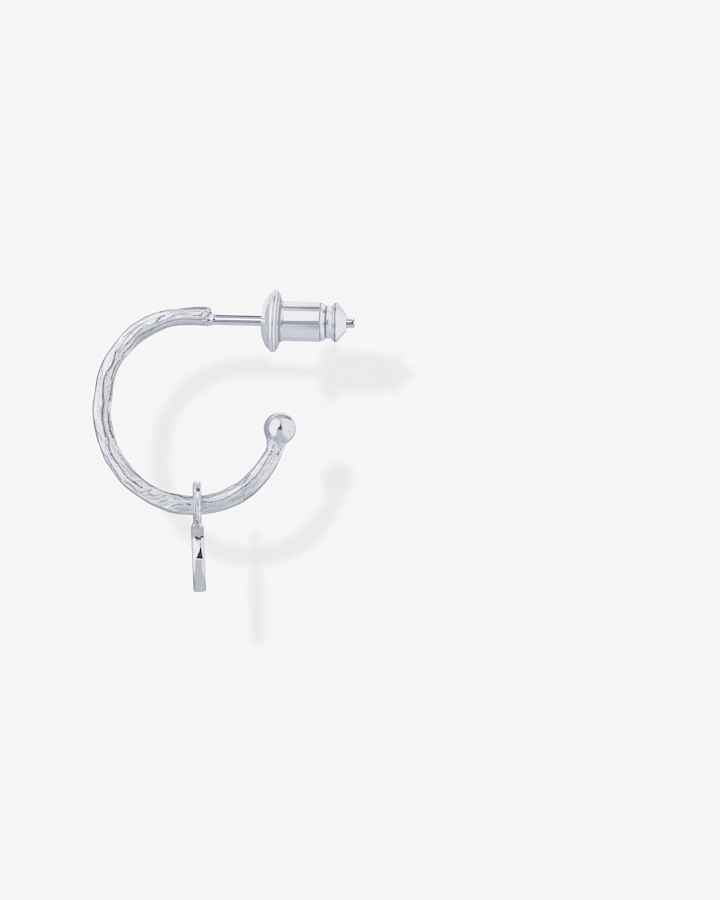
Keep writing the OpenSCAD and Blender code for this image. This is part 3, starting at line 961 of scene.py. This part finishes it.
def make_clutch():
    """The bullet clutch, turned about the post, with its bore."""
    rim_x = CLUTCH_X + FRONT_CONE_L
    tread_x, rear_x = rim_x + 0.20, rim_x + RIM_W
    barrel_x = rear_x + BACK_CONE_L
    groove_x = barrel_x + BARREL_L
    ridge_x = groove_x + GROOVE_L
    bore_r = POST_D / 2 + BORE_CLEARANCE
    face_r, flange_r, barrel_r, groove_r = FACE_D / 2, FLANGE_D / 2, BARREL_D / 2, GROOVE_D / 2
    # Rows as offsets from a length and a radius, each with its rounding
    rows = [
        (CLUTCH_X, face_r, [
            (0, 0, CLUTCH_EDGE_R), (FRONT_CONE_L * 0.16, (flange_r - face_r) * 0.30, 0.6),
            (FRONT_CONE_L * 0.48, (flange_r - face_r) * 0.62, 0.9)]),
        (rim_x, flange_r, [
            (-0.14, -0.22, 0.02), (-0.115, -0.22, 0.02), (-0.01, -0.04, 0.07), (0.11, 0, 0.05)]),
        (tread_x, flange_r, [
            (-0.02, -0.08, 0.02), (0.02, -0.08, 0.02), (0.09, -0.01, 0.04), (0.16, -0.05, 0.05)]),
        (rear_x, flange_r, [(-0.01, -0.24, 0.03), (0.02, -0.27, 0.02), (0.07, -0.28, 0.05)]),
        (barrel_x, barrel_r, [
            (-0.22, 0.12, 0.03), (-0.17, 0.08, 0.03), (-0.02, 0.02, 0.2), (0.08, 0, 0.2)]),
        (groove_x, barrel_r, [
            (-0.04, 0, 0.06), (0.03, -0.08, 0.02), (0.12, -0.04, 0.06), (0.34, -0.16, 0.08)]),
        (groove_x, groove_r, [
            (0.44, 0, 0.03), (0.52, 0.06, 0.05), (0.68, 0.05, 0.05), (0.78, -0.01, 0.05)]),
        (ridge_x, barrel_r, [
            (0.05, -0.02, 0.06), (0.14, 0, 0), (0.17, -0.015, 0), (0.20, 0, 0),
            (0.28, -0.01, 0.07), (RIDGE_W, -0.09, 0.10)]),
        (CLUTCH_END_X, NOSE_D / 2, [(0, 0, CLUTCH_EDGE_R / 2)]),
    ]
    profile = [(x + dx, r + dr, soft) for x, r, group in rows for dx, dr, soft in group]
    profile = [(CLUTCH_X, bore_r, 0)] + profile + [(CLUTCH_END_X, bore_r, 0)]
    profile = rounded(profile, CLUTCH_ROUND)
    obj = lathe("bullet_clutch", profile, CLUTCH_AROUND, satin_silver, closed=True)
    x, y, z = vertex_places(obj)
    around = np.degrees(np.arctan2(-y, z))
    # Painted shade in the darker grooves, and painted reflections in the lines on the barrel and
    # the spots, by their angle from the top
    grooves = [
        (rim_x - 0.13, 0.25, 0.03), (tread_x, 0.30, 0.04), (rear_x + 0.01, 0.55, 0.04),
        (barrel_x - 0.20, 0.75, 0.06), (groove_x + 0.02, 0.60, 0.05),
        (groove_x + 0.44, 0.75, 0.06), (ridge_x + 0.17, 0.75, 0.05),
    ]
    dark = [darkness * bell(x - at, wide) for at, darkness, wide in grooves]
    on_barrel = between(x, barrel_x - 0.05, 0.10, groove_x + 0.02, 0.05) * (y < 0)
    dark += [darkness * on_barrel * bell(around - at, wide) for at, darkness, wide in BARREL_REFLECTIONS]
    spots = [
        (barrel_x - 0.08, 46, 0.80), (barrel_x - 0.08, 99, 0.90), (groove_x - 0.01, 46, 0.65),
        (groove_x, 105, 0.60), (groove_x + 0.30, 54, 0.75), (groove_x + 0.42, 98, 0.75),
        (ridge_x + 0.15, 50, 0.80), (ridge_x + 0.15, 101, 0.80),
    ]
    dark += [
        darkness * bell(x - at, SPOT_L) * bell(around - turned, SPOT_TURN)
        for at, turned, darkness in spots
    ]
    store(obj, "painted_darkness", np.max(dark, axis=0))
    # The flange leans a little on the barrel, all but its front face
    leaning = between(x, CLUTCH_X + 0.05, 0.3, barrel_x, 0.3)
    x = x + leaning * z * tan(radians(FLANGE_LEAN))
    obj.data.vertices.foreach_set("co", (places(x, y, z) * MM).ravel())
    settle(obj, Matrix.Identity(4), "clutch")


make_hoop()
make_ring()
make_disc()
make_seat()
make_clutch()


# The stage: a pale backdrop far behind, with a soft lamp beside the camera whose shadow falls
# on it, and a studio of soft white and grey round the earring

LENS = 250
SENSOR = 36
CLIP_METRES = (0.01, 20)
CAMERA_AZIMUTH = 3.5
CAMERA_FAR = LENS / SENSOR * PHOTO_H / PX_PER_MM
BACKDROP_FAR = 350
BACKDROP_HALF = 600
BACKDROP_MATT = 0.02
SHADOW_SHIFT = (58.5, 51.0)
SHADOW_BLUR = 11
PALE = 0.913
SHADE_DEPTH = 0.099
ROOM_SHARE = 0.0175
# The cards: an outline at its distance before the earring, a box of X and Y at its height, and
# four corners
CARD_FAR = 50
CARD_OUTLINE = [(-13, -16.5), (22, -16.5), (19, -7), (15.5, 11), (12.8, 30), (16.5, 80),
                (26, 170), (17, 170), (12.5, 80), (9, 24), (6, 13), (1, 3), (-3, -1), (-7, -8)]
PANEL_BOX = ((2.4, 9.5), (-0.9, 2), 3)
SIDE_CARD = [(-5.4, 2.8, 0.3), (1.65, 4.7, 0.3), (1.65, 4.7, 5), (-5.4, 2.8, 8.4)]
CARD_DARK = (0.075, 0.08, 0.11)
CARD_WHITE = (0.90, 0.91, 0.94)
SHARPEN_PX = 3
SHARPEN = 0.45


def camera_axes():
    """The camera's right, up and forward directions."""
    a, roll = radians(CAMERA_AZIMUTH), radians(PHOTO_ROLL)
    forward = Vector((-sin(a), cos(a), 0))
    level = Vector((cos(a), sin(a), 0))
    right = level * cos(roll) + Vector((0, 0, 1)) * sin(roll)
    return right, right.cross(forward), forward


def turned_as_camera(place_mm):
    """The matrix of a thing at a place, in millimetres, that is turned as the camera is."""
    right, up, forward = camera_axes()
    turn = Matrix((right, up, -forward)).transposed().to_4x4()
    return Matrix.Translation(place_mm * MM) @ turn


def make_camera():
    """The camera, so far off that the photograph's scale holds, turned and rolled as it was."""
    right, up, forward = camera_axes()
    x = (ORIGIN_PX[0] - PHOTO_W / 2) / PX_PER_MM
    y = (PHOTO_H / 2 - ORIGIN_PX[1]) / PX_PER_MM
    data = bpy.data.cameras.new("camera")
    data.lens, data.sensor_width = LENS, SENSOR
    data.clip_start, data.clip_end = CLIP_METRES
    camera = new_object("camera", data)
    camera.matrix_world = turned_as_camera(-(right * x + up * y + forward * CAMERA_FAR))
    bpy.context.scene.camera = camera
    return camera


def emptied(owner):
    """The node tree of a material, a world or a scene, with nothing in it."""
    owner.use_nodes = True
    owner.node_tree.nodes.clear()
    return owner.node_tree


def stage_plane(name, points_mm, colour, place, strength=1, matt=None):
    """A flat piece of the stage that glows, and may take some light as well."""
    material = bpy.data.materials.new(name)
    tree = emptied(material)
    surface = add(tree, "Emission", (*colour, 1), strength).outputs[0]
    if matt:
        taken = add(tree, "BsdfDiffuse", (matt, matt, matt, 1)).outputs[0]
        surface = add(tree, "AddShader", surface, taken).outputs[0]
    add(tree, "OutputMaterial", Surface=surface)
    mesh = bpy.data.meshes.new(name)
    mesh.from_pydata([Vector(p) * MM for p in points_mm], [], [tuple(range(len(points_mm)))])
    mesh.materials.append(material)
    plane = new_object(name, mesh)
    plane.matrix_world = place
    return plane


def make_backdrop():
    """A plain pale plane square to the camera's view, which glows a little less than its
    final tone and takes the rest from the lamp, so that the shadow is soft and light."""
    h = BACKDROP_HALF
    corners = [(-h, -h, 0), (h, -h, 0), (h, h, 0), (-h, h, 0)]
    place = turned_as_camera(camera_axes()[2] * BACKDROP_FAR)
    glow = 1 - SHADE_DEPTH - ROOM_SHARE
    backdrop = stage_plane("pale_backdrop", corners, (PALE,) * 3, place, glow, BACKDROP_MATT)
    backdrop.visible_glossy = False
    backdrop.visible_diffuse = False
    return backdrop


def make_card(name, points, colour, place):
    """A card that only polished metal mirrors: neither the camera nor the lamp meets it."""
    card = stage_plane(name, points, colour, place)
    for kind in ("camera", "diffuse", "shadow", "transmission", "volume_scatter"):
        setattr(card, "visible_" + kind, False)


def make_cards():
    """The dark card before the earring, wide at its foot, that goes up to a narrow strip on the
    right, and two white ones, close above the clutch and behind the top of the hoop."""
    turn = Matrix.Rotation(radians(CAMERA_AZIMUTH), 4, "Z")
    make_card("dark_card", [(x, -CARD_FAR, z) for x, z in CARD_OUTLINE], CARD_DARK, turn)
    (x0, x1), (y0, y1), z = PANEL_BOX
    panel = [(x0, y0, z), (x1, y0, z), (x1, y1, z), (x0, y1, z)]
    make_card("white_card", panel, CARD_WHITE, Matrix.Identity(4))
    make_card("side_card", SIDE_CARD, CARD_WHITE, Matrix.Identity(4))


def make_lamp(camera, backdrop):
    """The lamp beside the camera, which lights only the backdrop, with the earring's shadow."""
    right, up, _ = camera_axes()
    reach = (CAMERA_FAR + BACKDROP_FAR) / BACKDROP_FAR
    left = SHADOW_SHIFT[0] / PX_PER_MM * reach
    raised = SHADOW_SHIFT[1] / PX_PER_MM * reach
    far = (CAMERA_FAR + BACKDROP_FAR) * MM
    data = bpy.data.lights.new("soft_lamp", "POINT")
    data.shadow_soft_size = SHADOW_BLUR / PX_PER_MM * reach / 2 * MM
    data.energy = PALE * SHADE_DEPTH * pi / BACKDROP_MATT * 4 * pi * far ** 2
    lamp = new_object("soft_lamp", data)
    lamp.location = camera.matrix_world.translation + (up * raised - right * left) * MM
    lamp.visible_glossy = False
    lit = bpy.data.collections.new("lit_by_lamp")
    lit.objects.link(backdrop)
    lamp.light_linking.receiver_collection = lit


def step(tree, value, low, high):
    """0 where a value is at or past low, 1 at or past high, and a soft step between."""
    return add(
        tree, "MapRange", value, min(low, high), max(low, high), int(low > high),
        int(low < high), interpolation_type="SMOOTHSTEP").outputs[0]


def make_world():
    """The studio as the metal sees it, by direction: bright in front, most of all on the left,
    a dim roof overhead, pale behind, and grey low in front and behind on the left."""
    world = bpy.data.worlds.new("studio")
    bpy.context.scene.world = world
    tree = emptied(world)
    way = add(tree, "TexCoord").outputs["Generated"]
    turned = add(tree, "VectorRotate", way, rotation_type="Z_AXIS",
                 Angle=-radians(CAMERA_AZIMUTH)).outputs[0]
    x, y, z = add(tree, "SeparateXYZ", turned).outputs

    # Over the top from the camera at 0 to the back at 180
    over = maths(tree, "ARCTAN2", z, maths(tree, "MULTIPLY", y, -1))
    over = maths(tree, "MULTIPLY", over, 180 / pi)
    # The wedge of grey below the camera is wider the lower it goes
    spread = maths(tree, "MULTIPLY", step(tree, over, -30, -90), 0.25)
    off_wedge = maths(tree, "SUBTRACT", maths(tree, "ABSOLUTE", x), spread)
    # The roof's edges curve back to both sides, and its front edge is darker on the right
    bend = maths(tree, "MULTIPLY", maths(tree, "MULTIPLY", x, x), 90)
    roof_over = maths(tree, "SUBTRACT", over, bend)
    roof_sides = [(x, 0.72, 0.60), (x, -0.42, -0.30), (z, 0.1, 0.25)]
    deep = maths(tree, "ADD", 0.35, maths(tree, "MULTIPLY", step(tree, x, 0.25, 0.45), 0.6))

    light, white, pale = (0.85, 0.855, 0.885), (0.96, 0.965, 0.99), (0.83, 0.84, 0.87)
    grey, mid_grey, lilac = (0.57, 0.58, 0.63), (0.50, 0.51, 0.56), (0.43, 0.44, 0.50)
    dark, black = (0.15, 0.15, 0.19), (0.02, 0.02, 0.03)
    behind_left = layered(tree, grey, lilac, step(tree, z, 0.60, 0.20))
    # Each layer's colour, how strong it is, and the steps that it has to be past
    layers = [
        (white, 1, [(x, 0.30, -0.15)]),
        (pale, 1, [(y, 0.0, 0.25)]),
        # the wedge
        (grey, 1, [(off_wedge, 0.45, 0.22), (over, 2, -8)]),
        # the grey side behind on the left, darker below, and the dim edge behind on the right
        (behind_left, 1, [(x, -0.10, -0.35), (y, -0.25, 0.0)]),
        (grey, 1, [(x, 0.10, 0.30), (y, 0.80, 0.92)]),
        # the narrow grey fall on the left before the roof
        (mid_grey, 1, [(over, 60, 64), (over, 84, 80), (x, -0.02, -0.04), (x, -0.24, -0.20)]),
        # the dim roof and its dark front edge
        (lilac, 1, [(roof_over, 76, 81), (roof_over, 124, 112), *roof_sides]),
        (dark, deep, [(roof_over, 79, 83), (roof_over, 96, 90), *roof_sides]),
        # the thin dark line between the fall and the panel over the clutch
        (black, 1, [(over, 83, 86), (over, 100, 96), (x, -0.02, -0.03), (x, -0.14, -0.11)]),
    ]
    colour = light
    for paint, cover, steps in layers:
        for value, low, high in steps:
            cover = maths(tree, "MULTIPLY", cover, step(tree, value, low, high))
        colour = layered(tree, colour, paint, cover)
    lit = add(tree, "Background", colour).outputs[0]
    # Where the camera sees past the backdrop, the studio is as pale as the backdrop
    plain = add(tree, "Background", (PALE, PALE, PALE, 1)).outputs[0]
    seen = add(tree, "LightPath").outputs["Is Camera Ray"]
    mixed = add(tree, "MixShader", seen, lit, plain).outputs[0]
    add(tree, "OutputWorld", Surface=mixed)


def make_finish():
    """The light sharpening that the photograph has had."""
    tree = emptied(bpy.context.scene)
    picture = add(tree, "RLayers").outputs["Image"]
    soft = add(tree, "Blur", picture, filter_type="GAUSS", size_x=SHARPEN_PX,
               size_y=SHARPEN_PX).outputs[0]
    mix = add(tree, "MixRGB", 1 + SHARPEN, soft, picture, blend_type="MIX")
    add(tree, "Composite", mix.outputs[0])


camera = make_camera()
backdrop = make_backdrop()
make_cards()
make_lamp(camera, backdrop)
make_world()
make_finish()
bpy.context.scene.view_settings.view_transform = "Standard"
